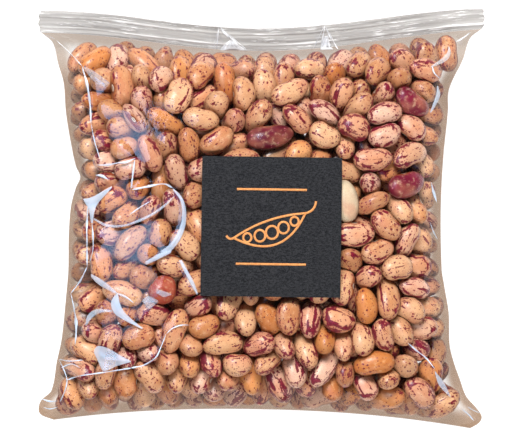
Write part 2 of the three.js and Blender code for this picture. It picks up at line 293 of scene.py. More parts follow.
size = np.stack([
    np.clip(BEAN_LONG * np.exp(chance.normal(0, LONG_VARIES, BEAN_COUNT)), BEAN_SHORTEST, BEAN_LONGEST),
    BEAN_WIDE * np.exp(chance.normal(0, WIDE_VARIES, BEAN_COUNT)),
    BEAN_THICK * np.exp(chance.normal(0, THICK_VARIES, BEAN_COUNT)),
], axis=1)
# Where beans are dropped, and how far from both films. Some are rolled to one side, by an angle between
# these two, and all lean a little.
DROP_X, DROP_Y, DROP_FULLNESS, DROP_CLEAR = (-92, 92), (-86, 80), 0.5, 4
ROLLED_SHARE, ROLLED_BY, LEAN_VARIES = 0.13, (0.8, 1.6), 0.22
dropped = []
while len(dropped) < BEAN_COUNT:
    x, y = np.array(chance.uniform(*DROP_X)), np.array(chance.uniform(*DROP_Y))
    if fullness(*unplan(x, y)) > DROP_FULLNESS:
        low, high = look_up(film_below, x, y), look_up(film_above, x, y)
        dropped.append((x, y, low + DROP_CLEAR + (high - low - 2 * DROP_CLEAR) * chance.random()))
heading = chance.uniform(0, 2 * np.pi, BEAN_COUNT)
lean = chance.normal(0, LEAN_VARIES, (BEAN_COUNT, 2))
rolled = chance.random(BEAN_COUNT) < ROLLED_SHARE
roll = np.where(rolled, chance.choice([-1, 1], BEAN_COUNT) * chance.uniform(*ROLLED_BY, BEAN_COUNT), 0)
turn = np.tile(np.eye(3), (BEAN_COUNT, 1, 1))
turn = turned(turn, np.stack([roll + lean[:, 0], lean[:, 1], 0 * roll], axis=1))
turn = turned(turn, np.stack([0 * heading, 0 * heading, heading], axis=1))
place, turn = poured(size, np.array(dropped), turn, np.where(rolled, 0.0, 1.0))
# Of the beans whose scar looks up, this share is turned over, since few scars show.
SCAR_UP, TURNED_OVER = -0.25, 0.3
over = (turn[:, 2, 1] < SCAR_UP) & (chance.random(BEAN_COUNT) < TURNED_OVER)
turn[over] = turn[over] * np.array([1, -1, -1])
kept = fullness(*unplan(place[:, 0], place[:, 1])) > BEAN_KEEP
size, place, turn = size[kept], place[kept], turn[kept]


# One dried bean is a plump kidney with blunt ends, one end thicker, and a dent where it hung in its
# pod. Four slightly different shapes stand for them all. Its skin is glazed, sandy to orange, and
# splashed with maroon.
BEAN_SIDES, BEAN_RINGS = 16, 12
BEND_BACK = 0.35
DENT_DEPTH, DENT_REACH = 0.15, 0.3


def bean_shape(name, bend, plump, taper):
    """A bean one unit long, wide and thick, with its long way along X and its dent to -Y."""
    points = [(-0.5, -bend * (1 - BEND_BACK), 0)]
    for t in -np.cos(np.pi * np.arange(1, BEAN_RINGS) / BEAN_RINGS):
        r = (1 - abs(t) ** plump) ** 0.5 * (1 + taper * t) / 2
        for a in 2 * np.pi * np.arange(BEAN_SIDES) / BEAN_SIDES:
            dent = 1 - DENT_DEPTH * math.exp(-((t / DENT_REACH) ** 2)) * max(0, -math.cos(a)) ** 2
            points.append((t / 2, r * math.cos(a) * dent - bend * (t * t - BEND_BACK), r * math.sin(a)))
    points.append((0.5, -bend * (1 - BEND_BACK), 0))

    def corner(ring, side):
        return 1 + ring * BEAN_SIDES + side % BEAN_SIDES

    last_ring, last = BEAN_RINGS - 2, len(points) - 1
    faces = []
    for k in range(BEAN_SIDES):
        faces.append((0, corner(0, k + 1), corner(0, k)))
        faces.append((last, corner(last_ring, k), corner(last_ring, k + 1)))
        for ring in range(last_ring):
            faces.append((corner(ring, k), corner(ring, k + 1), corner(ring + 1, k + 1), corner(ring + 1, k)))
    piece = new_piece(name, points, faces)
    attribute(piece, "on_bean", np.array(points))
    return piece


bean_shapes = {
    "Straight": bean_shape("bean_shape_straight", 0.02, 2.1, 0.05),
    "Curved": bean_shape("bean_shape_curved", 0.07, 2.15, 0.06),
    "Blunt": bean_shape("bean_shape_blunt", 0.035, 2.3, 0.03),
    "Pointed": bean_shape("bean_shape_pointed", 0.03, 1.9, 0.11),
}


class Wire:
    """An output in a node tree. Sums written on wires add the Math nodes that work them out."""

    def __init__(self, tree, socket=None):
        self.tree, self.socket = tree, socket

    def add(self, kind, settings, values, output=0):
        """A node of this kind, its settings made first, fed these values or wires by socket name."""
        node = self.tree.nodes.new(kind)
        for name, value in settings.items():
            setattr(node, name, value)
        for name, value in values.items():
            for one in value if isinstance(value, list) else [value]:
                if isinstance(one, Wire):
                    self.tree.links.new(one.socket, node.inputs[name])
                else:
                    node.inputs[name].default_value = one
        return Wire(self.tree, node.outputs[output] if node.outputs else None)

    def math(self, operation, *others):
        return self.add("ShaderNodeMath", {"operation": operation}, dict(enumerate([self, *others])))

    def __add__(self, other):
        return self.math("ADD", other)

    def __sub__(self, other):
        return self.math("SUBTRACT", other)

    def __rsub__(self, other):
        return self.math("MULTIPLY", -1.0).math("ADD", other)

    def __mul__(self, other):
        return self.math("MULTIPLY", other)

    def __truediv__(self, other):
        return self.math("DIVIDE", other)

    def __pow__(self, other):
        return self.math("POWER", other)

    __radd__, __rmul__ = __add__, __mul__

    def between(self, low, high):
        """0 below low, 1 above high, and smooth from one to the other."""
        ends = {"Value": self, "From Min": low, "From Max": high}
        return self.add("ShaderNodeMapRange", {"interpolation_type": "SMOOTHSTEP"}, ends)

    def stretched(self, x, y, z):
        return self.add("ShaderNodeVectorMath", {"operation": "MULTIPLY"}, {0: self, 1: (x, y, z)})

    def shifted(self, by):
        return self.add("ShaderNodeVectorMath", {"operation": "ADD"}, {0: self, 1: by})

    def noise(self, scale, detail=2.0, rough=0.5):
        texture = {"Vector": self, "Scale": scale, "Detail": detail, "Roughness": rough}
        return self.add("ShaderNodeTexNoise", {}, texture)

    def part(self, axis):
        return self.add("ShaderNodeSeparateXYZ", {}, {"Vector": self}, axis)

    def mixed(self, first, second):
        """first where this wire is 0 and second where it is 1, both colours."""
        return self.add("ShaderNodeMix", {"data_type": "RGBA"}, {"Factor": self, 6: first, 7: second}, 2)

    def mixed_shaders(self, first, second):
        return self.add("ShaderNodeMixShader", {}, {0: self, 1: first, 2: second})

    def attribute(self, name, output="Fac"):
        return self.add("ShaderNodeAttribute", {"attribute_name": name}, {}, output)

    def object_place(self):
        return self.add("ShaderNodeTexCoord", {}, {}, "Object")

    def bump(self, strength, distance):
        """The normal of a surface that is as rough as this wire, its distance in millimetres."""
        relief = {"Height": self, "Strength": strength, "Distance": distance * MM}
        return self.add("ShaderNodeBump", {}, relief)

    def surface(self, values):
        return self.add("ShaderNodeBsdfPrincipled", {}, values)

    def see_through(self, tone):
        return self.add("ShaderNodeBsdfTransparent", {}, {"Color": tone})


def new_material(name):
    """A material with no nodes yet, and a loose wire to start them from."""
    material = bpy.data.materials.new(name)
    material.use_nodes = True
    material.node_tree.nodes.clear()
    return material, Wire(material.node_tree)


def shown(material, shader):
    """The material, which now shows this shader."""
    shader.add("ShaderNodeOutputMaterial", {}, {"Surface": shader})
    return material


# A white sheet under the lights would look this many times as bright as white.
LIGHT = 1.4


def colour(red, green, blue):
    """The paint that looks this colour, 0 to 255, under the lights."""
    return tuple(((c / 255 + 0.055) / 1.055) ** 2.4 / LIGHT for c in (red, green, blue)) + (1.0,)


def darker(paint, share):
    return tuple(c * share for c in paint[:3]) + (1.0,)


def bean_skin(name, pale, warm, mark, dots, patches, streaks, variety=1.0):
    """The glazed skin of one kind of bean. dots, patches and streaks are how much of it each covers."""
    material, start = new_material(name)
    place = start.attribute("on_bean", "Vector").stretched(BEAN_LONG, BEAN_WIDE, BEAN_THICK)
    long, wide, thick = (place.part(axis) for axis in range(3))
    here = place.shifted(start.attribute("lot", "Vector"))
    tint = start.attribute("tint")
    rim = 1 - (thick / (BEAN_THICK / 2)) ** 2

    # The ground colour: pale to warm in soft clouds, some beans all orange or khaki, and painted
    # shade darkening the rim.
    skin = (tint * 0.9 + here.noise(0.17, 3.0) * 1.3 - 0.6).between(0.05, 0.95).mixed(pale, warm)
    blush, light = here.shifted((31, 7, 3)).noise(0.11, 2.0), here.shifted((5, 90, 17)).noise(0.55, 3.0, 0.6)
    freckle, own = here.noise(1.7, 3.0, 0.7), (tint * 13.7).math("FRACT")
    for share, tone in (
        (blush.between(0.45, 0.7) * 0.5, colour(220, 140, 112)),
        (freckle.between(0.35, 0.75) * 0.3, darker(warm, 0.5)),
        (light.between(0.5, 0.75) * 0.5, colour(248, 216, 176)),
        (own.between(0.7, 1.0) * 0.55 * variety, colour(228, 148, 74)),
        ((1 - own.between(0.0, 0.34)) * 0.45 * variety, colour(208, 154, 110)),
        # painted shade: each bean darkened all round its rim, where the gaps between beans lie in shade
        (rim.between(0.55, 1.0) * 0.42, darker(warm, 0.6)),
    ):
        skin = share.mixed(skin, tone)

    # The marks: ragged patches, broken streaks along the bean, a band around its rim, and specks.
    amount = (tint * 7.31).math("FRACT") * 0.07 - 0.035 + (rim - 0.55) * 0.085
    ragged = here.noise(1.3, 2.0, 0.6)
    kinds = []
    if patches:
        patch = here.stretched(0.17, 0.40, 0.40).noise(1.0, 3.0, 0.55) + (ragged - 0.5) * 0.34 + amount
        kinds.append(patch.between(0.69 - 0.13 * patches, 0.70 - 0.13 * patches))
    if streaks:
        streak = here.stretched(0.05, 0.42, 0.42).noise(1.0, 2.0, 0.6) + (ragged - 0.5) * 0.22 + amount
        broken = here.stretched(0.14, 0.4, 0.4).noise(1.0, 1.0).between(0.38, 0.43)
        kinds.append(streak.between(0.655 - 0.12 * streaks, 0.665 - 0.12 * streaks) * broken)
        band = rim + (here.shifted((3, 60, 8)).noise(0.14, 2.0) - 0.5) * 1.5 + (ragged - 0.5) * 0.34
        half_band = here.shifted((9, 1, 77)).noise(0.16, 1.0) * 0.62 * streaks - 0.14
        on_band = 1 - ((band - 0.66).math("ABSOLUTE") - half_band).between(-0.01, 0.01)
        kinds.append(on_band * here.shifted((70, 4, 33)).noise(0.13, 1.0).between(0.46, 0.48))
    wander = start.add("ShaderNodeCombineXYZ", {}, {0: here.noise(0.9, 1.0), 1: here.noise(1.3, 1.0)})
    spread = here.stretched(0.7, 1, 1).shifted(wander)
    for scale in (0.68, 1.25):
        cells = {"Vector": spread, "Scale": scale}
        from_seed = start.add("ShaderNodeTexVoronoi", {}, cells)
        lucky = start.add("ShaderNodeTexVoronoi", {}, cells, "Color").part(0)
        reach = (lucky + amount * 3).between(1 - dots * 0.78, 1.12 - dots * 0.40) * 0.28
        kinds.append(1 - (from_seed - reach).between(-0.02, 0.04))
    marks = kinds[0]
    for more in kinds[1:]:
        marks = marks.math("MAXIMUM", more)
    skin = (marks * 0.97).mixed(skin, ragged.between(0.35, 0.65).mixed(mark, darker(mark, 0.5)))

    # The scar where the bean hung: a pale eye with a slit, in a dark ring, in a rusty patch.
    scar = ((long / 1.48) ** 2 + (thick / 0.674) ** 2) ** 0.5 + wide.between(-2.2, 1.1) * 9
    ring = scar.between(1.7, 1.45) * scar.between(0.95, 1.05)
    eye = 1 - scar.between(0.85, 1.0)
    slit = (1 - thick.math("ABSOLUTE").between(0.11, 0.22)) * (1 - long.math("ABSOLUTE").between(0.66, 0.88))
    for share, tone in (
        (scar.between(3.8, 1.5) * 0.7, colour(176, 92, 34)),
        (ring, colour(122, 52, 24)),
        (eye, colour(238, 228, 212)),
        (slit * eye, colour(96, 60, 44)),
    ):
        skin = share.mixed(skin, tone)

    relief = (ring * -1.0 + here.noise(0.8, 2.0) * 0.35 + freckle * 0.06).bump(0.35, 0.4)
    glaze = {"Base Color": skin, "Roughness": 0.25 + freckle * 0.14, "Normal": relief}
    return shown(material, start.surface(glaze))


SAND, PEACH, TAN = colour(240, 190, 148), colour(244, 200, 178), colour(208, 140, 95)
BUFF, MAROON = colour(236, 178, 128), colour(138, 12, 54)
CREAM, BRICK = colour(242, 232, 212), colour(192, 88, 66)
# Each kind's share of all beans, then its pale, warm and marked colours and how much the marks cover.
BEAN_KINDS = {
    "beans_speckled": (0.51, SAND, TAN, MAROON, 1.0, 0.32, 0.30),
    "beans_streaked": (0.36, PEACH, colour(224, 158, 122), MAROON, 0.85, 0.45, 0.72),
    "beans_plain": (0.09, BUFF, colour(206, 126, 68), MAROON, 0.9, 0.18, 0),
    "beans_maroon": (0.02, colour(142, 30, 64), colour(98, 14, 38), colour(206, 126, 136), 0.3, 0, 0, 0),
    "beans_cream": (0.01, CREAM, colour(228, 208, 178), colour(206, 176, 140), 0.2, 0, 0, 0),
    "beans_brick": (0.01, BRICK, colour(150, 54, 44), colour(226, 150, 90), 0.5, 0.12, 0, 0),
}


def new_tree(name, inputs):
    """An empty Geometry Nodes tree, a loose wire to start its nodes from, and its inputs as wires."""
    tree = bpy.data.node_groups.new(name, "GeometryNodeTree")
    for socket, kind in inputs.items():
        tree.interface.new_socket(socket, in_out="INPUT", socket_type="NodeSocket" + kind)
    tree.interface.new_socket("Made", in_out="OUTPUT", socket_type="NodeSocketGeometry")
    given = tree.nodes.new("NodeGroupInput")
    return tree, Wire(tree), {socket: Wire(tree, given.outputs[socket]) for socket in inputs}


def made_by(tree, base, name, values):
    """The plain mesh that a Geometry Nodes tree makes of an object, which it stands in for."""
    modifier = base.modifiers.new(name, "NODES")
    modifier.node_group = tree
    for item in tree.interface.items_tree:
        if item.in_out == "INPUT" and item.name in values:
            modifier[item.identifier] = values[item.name]
    mesh = bpy.data.meshes.new_from_object(base.evaluated_get(bpy.context.evaluated_depsgraph_get()))
    mesh.name = name
    bpy.data.objects.remove(base)
    return added(name, mesh)


# The node tree that sets a whole bean on each point, turned, sized and of the shape it names.
shape_inputs = {name: "Object" for name in bean_shapes}
bean_inputs = {"Points": "Geometry", **shape_inputs, "Skin": "Material"}
scatter, start, given = new_tree("beans on points", bean_inputs)
shape_wires = []
for name in reversed(bean_shapes):
    one = {"Object": given[name], "As Instance": True}
    shape_wires.append(start.add("GeometryNodeObjectInfo", {}, one, "Geometry"))
wires = {"Points": given["Points"], "Pick Instance": True}
wires["Instance"] = start.add("GeometryNodeJoinGeometry", {}, {0: shape_wires})
for name, kind, socket in (
    ("shape", "INT", "Instance Index"),
    ("turn", "FLOAT_VECTOR", "Rotation"),
    ("size", "FLOAT_VECTOR", "Scale"),
):
    wires[socket] = start.add("GeometryNodeInputNamedAttribute", {"data_type": kind}, {"Name": name})
beans_set = start.add("GeometryNodeInstanceOnPoints", {}, wires)
beans_real = start.add("GeometryNodeRealizeInstances", {}, {0: beans_set})
beans_smooth = start.add("GeometryNodeSetShadeSmooth", {}, {0: beans_real})
skinned = start.add("GeometryNodeSetMaterial", {}, {"Geometry": beans_smooth, "Material": given["Skin"]})
start.add("NodeGroupOutput", {}, {0: skinned})

# Each bean's shape, how warm its colour is, which part of the pattern it is cut from, and its kind.
count = len(place)
shape_of = chance.integers(0, len(bean_shapes), count)
tint_of = chance.random(count)
lot_of = chance.uniform(-400, 400, (count, 3))
shares = np.array([share for share, *_ in BEAN_KINDS.values()])
kind_of = chance.choice(len(shares), count, p=shares / shares.sum())


# The camera looks straight down, so a place that lies higher looks larger and further out.
CAMERA_X, CAMERA_Y, CAMERA_Z = -0.66, 0.3, 1110.0
PHOTO_MIDDLE_X, PHOTO_MIDDLE_Y = 260.0, 218.5
SEAM_SCALE = 0.44


def in_bag(px, py):
    """Where a point that the photo shows lies on the bag, in millimetres."""
    height = DOME_HEIGHT
    for _ in range(3):
        scale = SEAM_SCALE * (CAMERA_Z - height) / (CAMERA_Z - SEAM_HEIGHT)
        x, y = CAMERA_X + (px - PHOTO_MIDDLE_X) * scale, CAMERA_Y + (PHOTO_MIDDLE_Y - py) * scale
        height = max(SEAM_HEIGHT, float(look_up(film_above, np.array(x), np.array(y))))
    return x, y


def on_bag(line):
    """Where the points of a line that the photo shows lie on the bag."""
    return np.array([in_bag(px, py) for px, py, *_ in line])


def run_along(points):
    """How far along a path each of its points lies."""
    return np.concatenate([[0], np.cumsum(np.linalg.norm(np.diff(points, axis=0), axis=1))])


# Some beans catch the eye. Each noted one is the bean right under the film that lies nearest to where
# the real one does, and all others within sight are of the common kinds.
IN_SIGHT, UNDER_FILM = 17.0, 6.0
NOTED = [
    ("beans_maroon", 283, 128), ("beans_maroon", 405, 117), ("beans_maroon", 416, 175),
    ("beans_maroon", 367, 206), ("beans_cream", 347, 191), ("beans_brick", 161, 274),
]
names = list(BEAN_KINDS)
depth = look_up(film_above, place[:, 0], place[:, 1]) - place[:, 2]
kind_of[(depth < IN_SIGHT) & (kind_of > names.index("beans_plain"))] = 0
for kind, px, py in NOTED:
    x, y = in_bag(px, py)
    far = np.where(depth < UNDER_FILM, np.hypot(place[:, 0] - x, place[:, 1] - y), np.inf)
    kind_of[np.argmin(far)] = names.index(kind)

bean_pieces = []
for number, (name, (_, *look)) in enumerate(BEAN_KINDS.items()):
    mine = np.flatnonzero(kind_of == number)
    points = new_piece(name + "_points", place[mine], [])
    angles = [Matrix(rows.tolist()).to_euler("XYZ")[:] for rows in turn[mine]]
    attribute(points, "turn", angles)
    for key, values in (("size", size), ("lot", lot_of), ("shape", shape_of), ("tint", tint_of)):
        attribute(points, key, values[mine])
    skin = bean_skin(name.replace("_", " ") + " skin", *look)
    piece = made_by(scatter, points, name, {**bean_shapes, "Skin": skin})
    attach(piece, "root")
    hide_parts("filled_bag")
    bean_pieces.append(piece)
for shape in bean_shapes.values():
    bpy.data.objects.remove(shape)

# The front film and the back film, drawn over the beans. Each bridges from bean to bean like a drum
# skin, wrinkles where the sides are gathered in, and lies doubled and flat along the welded seams.
FILM_COLUMNS, FILM_ROWS = 280, 260
FILM_CLEAR, FILM_HALF_THICK = 0.25, 0.12
FAR_ABOVE = 200.0
FILM_ACROSS, FILM_UP = 168.0, 165.0
FRONT_VEIL = 0.45
# How far from the seams the veil reaches and over how much of that it fades, in millimetres.
VEIL_REACH, VEIL_FADE, VEIL_UP = 6.8, 3.5, 120.0
DRAPE_STEPS = {1: 700, -1: 300}
CREASE_WIDTH, CREASE_SLOPE = 0.9, 4.5
PLEAT_HEIGHT, PLEAT_FROM_SEAM, PLEAT_WIDTH = 0.22, 5.0, 4.5
# Folds as (height, how far the film slopes away on each side, points read off the photo with the
# fold's width there in millimetres).
FOLDS = [
    (0.3, 0, [(56, 40, 0.2), (70, 53, 0.4), (82, 66, 0.4)]),
    (0.6, 4, [(82, 66, 0.5), (87, 84, 1.0), (90, 103, 0.8), (91, 124, 0.4)]),
    (0.3, 3, [(91, 124, 0.4), (95, 142, 0.4), (100, 159, 0.3)]),
    (0.5, 5, [(97, 165, 0.3), (108, 165, 0.9), (118, 163, 0.4), (127, 162, 0.8), (136, 158, 0.4)]),
    (0.4, 3, [(95, 175, 0.4), (102, 176, 1.0), (109, 180, 0.3)]),
    (0.5, 6, [(135, 159, 0.3), (133, 175, 0.7), (131, 190, 0.5)]),
    (0.5, 4, [(131, 190, 0.4), (146, 187, 0.9), (164, 184, 0.4), (173, 188, 0.9)]),
    (0.5, 5, [(88, 206, 0.4), (87, 222, 0.8), (87, 237, 0.4), (87, 253, 0.8), (87, 267, 0.4)]),
    (0.4, 3, [(87, 267, 0.4), (80, 281, 0.7), (72, 293, 0.4)]),
    (0.4, 3, [(72, 293, 0.4), (74, 307, 0.5), (76, 321, 1.2), (76, 334, 0.6), (75, 346, 0.3)]),
    (0.3, 2, [(92, 223, 0.3), (93, 235, 0.6), (93, 250, 0.3), (90, 262, 0.4)]),
    (0.3, 2, [(128, 216, 0.3), (139, 208, 0.4), (151, 201, 0.2)]),
    (0.4, 3, [(117, 293, 0.3), (126, 297, 0.9), (134, 303, 0.3)]),
    (0.3, 2, [(67, 380, 0.5), (79, 376, 0.3), (92, 374, 0.5), (112, 371, 0.4), (131, 368, 0.7)]),
    (0.3, 2, [(131, 368, 0.7), (144, 365, 0.4), (156, 357, 0.6), (161, 347, 0.4), (166, 334, 0.3)]),
    (0.3, 2, [(166, 334, 0.4), (173, 328, 0.3), (182, 325, 0.5), (190, 325, 0.2)]),
    (0.3, 2, [(59, 359, 0.3), (64, 369, 0.5), (67, 380, 0.4), (65, 391, 0.5), (60, 402, 0.3)]),
    (0.3, 2, [(59, 359, 0.3), (70, 361, 0.5), (83, 360, 0.2)]),
    (0.3, 2, [(62, 367, 0.3), (72, 364, 0.5), (80, 368, 0.2)]),
    (0.4, 3, [(432, 66, 0.4), (434, 73, 0.6), (440, 79, 0.3)]),
    (0.4, 2, [(471, 32, 0.3), (463, 38, 0.8), (456, 42, 0.3)]),
    (0.5, 3, [(431, 182, 0.3), (433, 191, 1.3), (436, 203, 0.3)]),
    (0.3, 2, [(430, 222, 0.2), (433, 231, 0.6), (437, 240, 0.2)]),
    (0.4, 3, [(408, 343, 0.3), (417, 351, 0.6), (426, 358, 0.5), (435, 369, 0.3)]),
    (0.3, 0, [(42, 399, 0.3), (50, 401, 0.6), (58, 401, 0.2)]),
    (0.3, 0, [(43, 407, 0.2), (50, 409, 0.5), (58, 407, 0.2)]),
    (0.3, 0, [(462, 409, 0.2), (469, 415, 0.7), (474, 421, 0.2)]),
    (0.3, 0, [(467, 406, 0.2), (473, 410, 0.6), (480, 413, 0.2)]),
]
# Where the closing strip is kinked, folds fan out from a point at its top to these places at its foot.
STARS = [
    ((219, 26), [(213.5, 49, 0.5), (216.5, 49, 0.9), (229, 38, 1.3), (239, 46, 1.0), (247, 50, 0.5)]),
    ((230, 40), [(220, 50, 0.9), (224, 50, 1.7), (229, 50, 1.8), (234, 49, 1.5), (239, 49, 1.2)]),
    ((325, 25), [(313, 49, 0.5), (321, 49, 1.0), (331, 40, 0.9), (338, 50, 0.7)]),
    ((327, 36), [(321, 50, 0.7), (325, 50, 1.5), (330, 49, 1.1)]),
]
for (top_x, top_y), feet in STARS:
    for px, py, width in feet:
        half_way = ((top_x + px) / 2, (top_y + py) / 2, 0.7 * width)
        FOLDS.append((0.4, 0, [(top_x, top_y, 0.2), half_way, (px, py, 0.8 * width)]))

# Broader folds lie flat and shine like blades in a painted bluish-white reflection. Each is how
# strong that painted reflection is, and its two edges.
BLADES = [
    (0.12, [(84, 66), (92, 70), (101, 76), (110, 83)], [(84, 69), (90, 77), (96, 83), (105, 87)]),
    (0.42, [(83, 199), (92, 197), (103, 191), (112, 186)], [(84, 201), (90, 209), (99, 202), (112, 188)]),
    (0.40, [(87, 205), (89, 210), (90, 216), (91, 223)], [(99, 202), (96, 207), (94, 214), (93, 223)]),
    (0.22, [(94, 220), (107, 227), (122, 227), (137, 223), (152, 216), (166, 206), (175, 196)],
           [(94, 218), (107, 224), (122, 225), (137, 220), (152, 213), (166, 203), (174, 196)]),
    (0.30, [(173, 188), (182, 197), (186, 209), (186, 223), (182, 236), (175, 247), (166, 255)],
           [(173, 190), (180, 200), (182, 211), (181, 223), (176, 235), (169, 245), (160, 251)]),
    (0.34, [(172, 249), (162, 252), (153, 257), (145, 262)],
           [(171, 253), (163, 257), (155, 261), (146, 265)]),
    (0.34, [(179, 260), (184, 271), (190, 283), (197, 295)],
           [(182, 260), (188, 271), (194, 282), (198, 293)]),
    (0.26, [(91, 274), (99, 278), (108, 284), (117, 292)], [(91, 277), (98, 284), (106, 289), (116, 294)]),
    (0.34, [(117, 293), (111, 302), (114, 313), (126, 321), (142, 329)],
           [(118, 293), (120, 303), (124, 311), (133, 320), (143, 328)]),
    (0.24, [(85, 325), (88, 315), (97, 309), (112, 310)], [(87, 325), (92, 318), (100, 313), (112, 312)]),
    (0.28, [(94, 350), (98, 346), (108, 348), (120, 355), (131, 361)],
           [(94, 353), (98, 361), (104, 371), (117, 366), (131, 362)]),
    (0.13, [(142, 300), (148, 296), (158, 300)], [(143, 302), (149, 309), (158, 302)]),
    (0.13, [(157, 289), (164, 291), (172, 294)], [(156, 293), (164, 297), (171, 295)]),
    (0.30, [(449, 45), (451, 53), (446, 61), (431, 68)], [(449, 45), (447, 53), (441, 59), (431, 66)]),
    (0.40, [(438, 86), (440, 95), (436, 105), (431, 113)], [(437, 86), (436, 95), (433, 104), (430, 112)]),
    (0.26, [(435, 371), (443, 381), (447, 388), (451, 397)],
           [(435, 373), (438, 383), (443, 390), (450, 397)]),
    (0.65, [(220, 49), (226, 43), (231, 40), (239, 45), (245, 49)],
           [(220, 50), (226, 50), (232, 50), (239, 50), (245, 50)]),
    (0.60, [(325, 36), (322, 43), (320, 50)], [(328, 36), (330, 43), (333, 50)]),
]

# Patches of the front film between folds, placed as the photo shows them, where it shines more
# strongly: painted reflections of the window.
PAINTED_REFLECTIONS = [
    [(84, 66), (97, 76), (112, 84), (128, 97), (150, 110), (172, 120), (196, 134), (203, 160), (200, 186),
     (182, 199), (176, 189), (164, 184), (146, 187), (131, 190), (133, 175), (135, 160), (122, 150),
     (110, 130), (97, 108), (88, 86)],
    [(93, 222), (113, 229), (130, 229), (152, 222), (166, 210), (178, 202), (183, 218),
     (180, 234), (172, 248), (146, 263), (128, 261), (112, 255), (95, 262), (91, 240)],
]


def within(x, y, corners):
    """1 at places inside a patch with these corners and 0 outside it."""
    inside = np.zeros(x.shape, bool)
    for (ax, ay), (bx, by) in zip(corners, corners[1:] + corners[:1]):
        inside ^= ((ay > y) != (by > y)) & (x < ax + (bx - ax) * (y - ay) / (by - ay + 1e-9))
    return inside.astype(float)


def off_line(x, y, line):
    """How far places are from a crease, and 1 along it fading to 0 at its two ends."""
    points = on_bag(line)
    lengths = run_along(points)
    near, along = np.full(x.shape, 1e9), np.zeros(x.shape)
    for k, ((ax, ay), (bx, by)) in enumerate(zip(points[:-1], points[1:])):
        dx, dy = bx - ax, by - ay
        t = np.clip(((x - ax) * dx + (y - ay) * dy) / (dx * dx + dy * dy), 0, 1)
        far = np.hypot(x - ax - t * dx, y - ay - t * dy)
        closer = far < near
        near = np.where(closer, far, near)
        along = np.where(closer, (lengths[k] + t * np.hypot(dx, dy)) / lengths[-1], along)
    return near, np.clip(np.minimum(along, 1 - along) * 6, 0, 1) ** 0.6


def crowd(count, share=0.35):
    """Steps from 0 to 1 that lie closer together towards both ends."""
    even = np.linspace(0, 1, count + 1)
    return even * (1 - share) + (1 - np.cos(np.pi * even)) / 2 * share


def neighbours(field):
    """The mean of the four values round each value."""
    wide = np.pad(field, 1, mode="edge")
    return (wide[:-2, 1:-1] + wide[2:, 1:-1] + wide[1:-1, :-2] + wide[1:-1, 2:]) / 4


def smoothed(field, times):
    """The field with each value drawn towards its neighbours, this many times over."""
    for _ in range(times):
        field = neighbours(field) / 2 + field / 2
    return field


def draped(grid_u, grid_v, side, beans):
    """The film's height over a grid of the plan: above the beans for side 1 and below them for -1."""
    u, v = np.meshgrid(grid_u, grid_v, indexing="ij")
    x, y = plan(u, v)
    rim = np.ones(u.shape, bool)
    rim[1:-1, 1:-1] = False
    touch = np.full(u.shape, -1e3)
    for at in np.argwhere(~rim):
        at = tuple(at)
        hit = beans.ray_cast((x[at] * MM, y[at] * MM, side * FAR_ABOVE * MM), (0, 0, -side))[0]
        if hit is not None:
            touch[at] = side * hit.z / MM + FILM_CLEAR
    lying = side * seam(v) + FILM_HALF_THICK
    dome = front(u, v) + BEAN_TOP * np.clip(fullness(u, v), 0, 1)
    film = np.where(rim, lying, np.maximum(dome if side > 0 else -back(u, v), touch))
    for _ in range(DRAPE_STEPS[side]):
        film = np.where(rim, lying, np.maximum(neighbours(film), touch))
    film = np.where(rim, lying, np.maximum(smoothed(film, 5), touch - 0.1))
    return x, y, film, film - touch


def margin_veil(u, v, air):
    """How much the films lie doubled: most at the seams, fading to 0 where beans press on the front."""
    from_seam = np.minimum(np.minimum(u, 1 - u) * FILM_ACROSS, np.minimum(v * VEIL_UP, (1 - v) * FILM_UP))
    doubled = np.clip((VEIL_REACH - from_seam) / VEIL_FADE, 0, 1)
    near_mouth = np.clip((v - 0.88) / 0.06, 0, 1)
    return doubled * np.clip(0.5 + air / 4, 0, 1) * (1 - 0.35 * near_mouth)


bean_vertices, bean_faces = [], []
for piece in bean_pieces:
    offset = len(bean_vertices)
    flat = np.empty(len(piece.data.vertices) * 3, np.float32)
    piece.data.vertices.foreach_get("co", flat)
    bean_vertices += flat.reshape(-1, 3).tolist()
    bean_faces += [[offset + k for k in face.vertices] for face in piece.data.polygons]
beans = BVHTree.FromPolygons(bean_vertices, bean_faces)

# The front film, with its folds and the small pleats that gather it in along the seams.
film_u, film_v = crowd(FILM_COLUMNS), crowd(FILM_ROWS)
film_x, film_y, film, air = draped(film_u, film_v, 1, beans)
u, v = np.meshgrid(film_u, film_v, indexing="ij")
inner = np.clip(np.minimum(np.minimum(u, 1 - u), np.minimum(v, 1 - v)) * 40, 0, 1)
creases = list(FOLDS)
for _, one, other in BLADES:
    creases.append((0.4, 4, [((ax + bx) / 2, (ay + by) / 2) for (ax, ay), (bx, by) in zip(one, other)]))
for height, slope, line in creases:
    far, along = off_line(film_x, film_y, line)
    ridge, rise = np.exp(-((far / CREASE_WIDTH) ** 2)), np.exp(-far / CREASE_SLOPE)
    film += (0.5 * height * ridge + 0.09 * slope * rise) * along * inner
from_side, from_end = np.minimum(u, 1 - u) * FILM_ACROSS, np.minimum(v, 1 - v) * FILM_UP
around = np.where(from_side < from_end, film_y, film_x)
pleats = np.sin(around * 0.9 + 1.7 * np.sin(around * 0.31))
pleats += 0.6 * np.sin(around * 1.63 + 2.1 * np.sin(around * 0.17))
from_seam = np.minimum(from_side, from_end) - PLEAT_FROM_SEAM
film += PLEAT_HEIGHT * pleats * np.exp(-(from_seam / PLEAT_WIDTH) ** 2) * inner

back_u, back_v = film_u[::2], film_v[::2]
back_x, back_y, back_film, back_air = draped(back_u, back_v, -1, beans)
back_film = np.maximum(-back_film, 0.02)


def grid_faces(columns, rows, first=0, up=True):
    """The faces of a grid of points, this many cells across and along, that look up or down."""
    i, j = np.meshgrid(np.arange(columns), np.arange(rows), indexing="ij")
    corner = first + (i * (rows + 1) + j).ravel()
    faces = np.stack([corner, corner + rows + 1, corner + rows + 2, corner + 1], axis=1)
    return (faces if up else faces[:, ::-1]).tolist()


